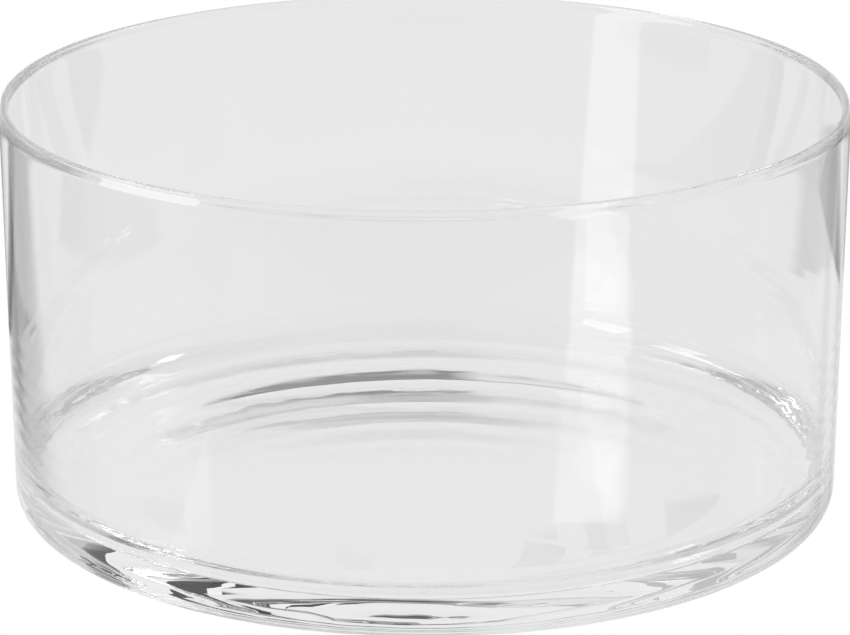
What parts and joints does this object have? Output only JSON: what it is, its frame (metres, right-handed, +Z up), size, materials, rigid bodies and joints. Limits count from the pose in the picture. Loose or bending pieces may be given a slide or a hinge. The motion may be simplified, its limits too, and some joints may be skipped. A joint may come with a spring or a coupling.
{
  "type": "crystallizing dish",
  "caption": "Round straight-sided clear glass dish with a thin wall, a plain fire-polished rim, and a thick bottom with a rounded heel and a shallow recess under it.",
  "frame": {"origin": "centre of the circle that the dish stands on, at the plane of the foot ring", "axes": "+Z up along the axis of the dish, towards the open rim; +X and +Y are any two level directions"},
  "size_m": [0.25, 0.25, 0.125],
  "materials": {
    "clear_glass": "fire-polished, clear"
  },
  "bodies": {
    "root": {"dish": "clear_glass"}
  },
  "joints": []
}
